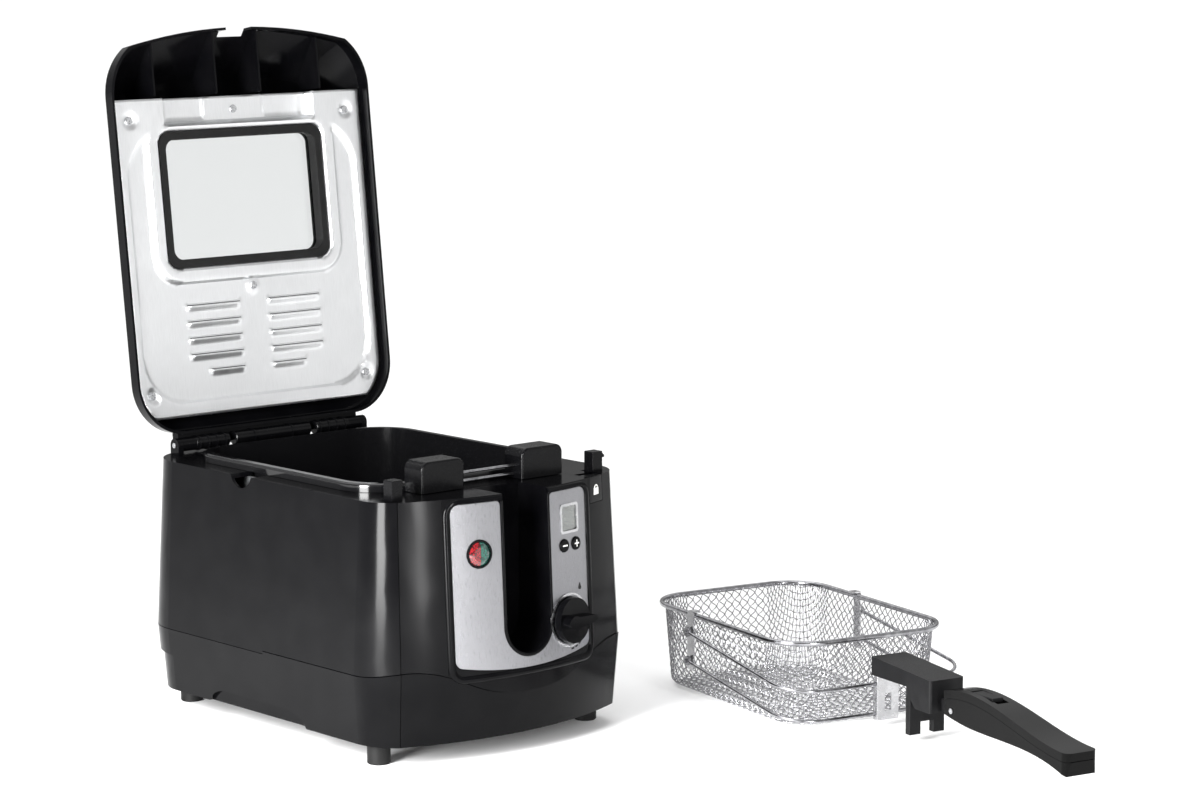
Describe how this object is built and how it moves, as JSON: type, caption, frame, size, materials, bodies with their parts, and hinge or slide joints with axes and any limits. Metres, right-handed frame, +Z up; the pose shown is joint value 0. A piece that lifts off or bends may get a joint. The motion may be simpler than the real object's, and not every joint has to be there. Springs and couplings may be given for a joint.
{
  "type": "deep fryer",
  "caption": "Electric deep fryer with hinged hooded lid, viewing window, lift-out pan, sprung controls and a wire basket on a parallel-link cradle with folding handle.",
  "frame": {"origin": "on the floor, midway under the body", "axes": "+Z up, front towards -Y, right-hand side towards +X"},
  "size_m": [0.6001, 0.8975, 0.6355],
  "materials": {
    "casing_black": "high gloss",
    "brushed_silver": "fine vertical brushing",
    "foot_grey": "matte",
    "screw_steel": "bright",
    "lens_red": "clear tinted",
    "lens_green": "clear tinted",
    "lamp_body": "matte",
    "button_black": "gloss",
    "display_glass": "clear",
    "display_grey": "satin",
    "board_green": "matte",
    "switch_grey": "matte",
    "satin_black": "satin",
    "enamel_black": "gloss enamel",
    "grip_black": "satin",
    "wire_steel": "bright",
    "tank_steel": "plain",
    "heater_aluminium": "cast",
    "liner_aluminium": "satin",
    "window_seal": "matte",
    "window_glass": "clear",
    "filter_felt": "fibrous",
    "handle_gloss": "gloss"
  },
  "bodies": {
    "fryer": {"housing": "casing_black", "front_bezel": "casing_black", "control_fascia": "brushed_silver", "base": "casing_black", "foot_front_left": "foot_grey", "foot_front_right": "foot_grey", "foot_rear_left": "foot_grey", "foot_rear_right": "foot_grey", "base_screws": "screw_steel", "indicator_ring": "satin_black", "lens_red": "lens_red", "lens_green": "lens_green", "indicator_lamp": "lamp_body", "display_window": "display_glass", "display_module": "display_grey", "control_board": "board_green", "thermostat": "switch_grey", "inner_tank": "tank_steel", "heater_tube": "screw_steel", "heater_plate": "heater_aluminium", "cord_gland": "satin_black", "hinge_pins": "screw_steel"},
    "lid": {"lid_shell": "casing_black", "lid_liner": "liner_aluminium", "window_frame": "window_seal", "window_glass": "window_glass", "odour_filter": "filter_felt", "lid_screws": "screw_steel"},
    "pan": {"pan": "enamel_black", "pan_grip_left": "grip_black", "pan_grip_right": "grip_black", "basket_rest_wires": "wire_steel"},
    "knob": {"temperature_knob": "casing_black", "knob_shaft": "screw_steel"},
    "minus_button": {"button_minus": "button_black"},
    "plus_button": {"button_plus": "button_black"},
    "release": {"release_button": "satin_black"},
    "latch": {"latch_bar": "satin_black"},
    "basket": {"basket_mesh": "wire_steel", "basket_rim": "wire_steel", "basket_bracket_left": "wire_steel", "basket_bracket_right": "wire_steel", "basket_rivets": "wire_steel"},
    "cradle_upper": {"cradle_wire_upper": "wire_steel"},
    "cradle_lower": {"cradle_wire_lower": "wire_steel"},
    "handle": {"handle_channel": "brushed_silver", "handle_base": "satin_black"},
    "grip": {"grip_lower": "handle_gloss", "grip_upper": "handle_gloss", "grip_pin": "screw_steel"},
    "slider": {"handle_slider": "satin_black"}
  },
  "joints": [
    {"name": "lid_hinge", "type": "hinge", "parent": "fryer", "child": "lid", "pos_m": [0, 0.182, 0.246], "axis": [1, 0, 0], "range_deg": [0, 95.8]},
    {"name": "pan_lift", "type": "slide", "parent": "fryer", "child": "pan", "axis": [0, 0, -1], "range_m": [-0.2, 0]},
    {"name": "knob_turn", "type": "hinge", "parent": "fryer", "child": "knob", "pos_m": [0.05, -0.19435, 0.114], "axis": [-0.1561, 0.9864, -0.0506], "range_deg": [0, 270]},
    {"name": "minus_press", "type": "slide", "parent": "fryer", "child": "minus_button", "axis": [-0.1474, 0.9878, -0.0506], "range_m": [0, 0.001], "stiffness_N_per_m": 800},
    {"name": "plus_press", "type": "slide", "parent": "fryer", "child": "plus_button", "axis": [-0.1997, 0.9785, -0.0506], "range_m": [0, 0.001], "stiffness_N_per_m": 800},
    {"name": "release_press", "type": "slide", "parent": "fryer", "child": "release", "axis": [0, 1, 0], "range_m": [0, 0.004], "stiffness_N_per_m": 300},
    {"name": "latch_slide", "type": "slide", "parent": "fryer", "child": "latch", "axis": [-1, 0, 0], "range_m": [0, 0.004]},
    {"name": "basket_lift", "type": "slide", "parent": "fryer", "child": "basket", "axis": [0, 0, 1], "range_m": [0, 0.15]},
    {"name": "cradle_swing", "type": "hinge", "parent": "basket", "child": "cradle_upper", "pos_m": [0.34444, -0.16464, 0.066], "axis": [-0.9781, 0.2079, 0], "range_deg": [0, 28]},
    {"name": "cradle_follow", "type": "hinge", "parent": "basket", "child": "cradle_lower", "pos_m": [0.34444, -0.16464, 0.038], "axis": [-0.9781, 0.2079, 0], "range_deg": [0, 28]},
    {"name": "handle_level", "type": "hinge", "parent": "cradle_upper", "child": "handle", "pos_m": [0.30697, -0.34093, 0.04067], "axis": [-0.9781, 0.2079, 0], "range_deg": [-28, 0]},
    {"name": "grip_fold", "type": "hinge", "parent": "handle", "child": "grip", "pos_m": [0.28589, -0.45933, 0.04], "axis": [0.9781, -0.2079, 0], "range_deg": [0, 82]},
    {"name": "slider_push", "type": "slide", "parent": "grip", "child": "slider", "axis": [-0.2079, -0.9781, 0], "range_m": [0, 0.006], "stiffness_N_per_m": 200}
  ],
  "couplings": [
    {"joint": "latch_slide", "follows": "release_press", "ratio": 1},
    {"joint": "cradle_follow", "follows": "cradle_swing", "ratio": 1},
    {"joint": "handle_level", "follows": "cradle_swing", "ratio": -1}
  ]
}
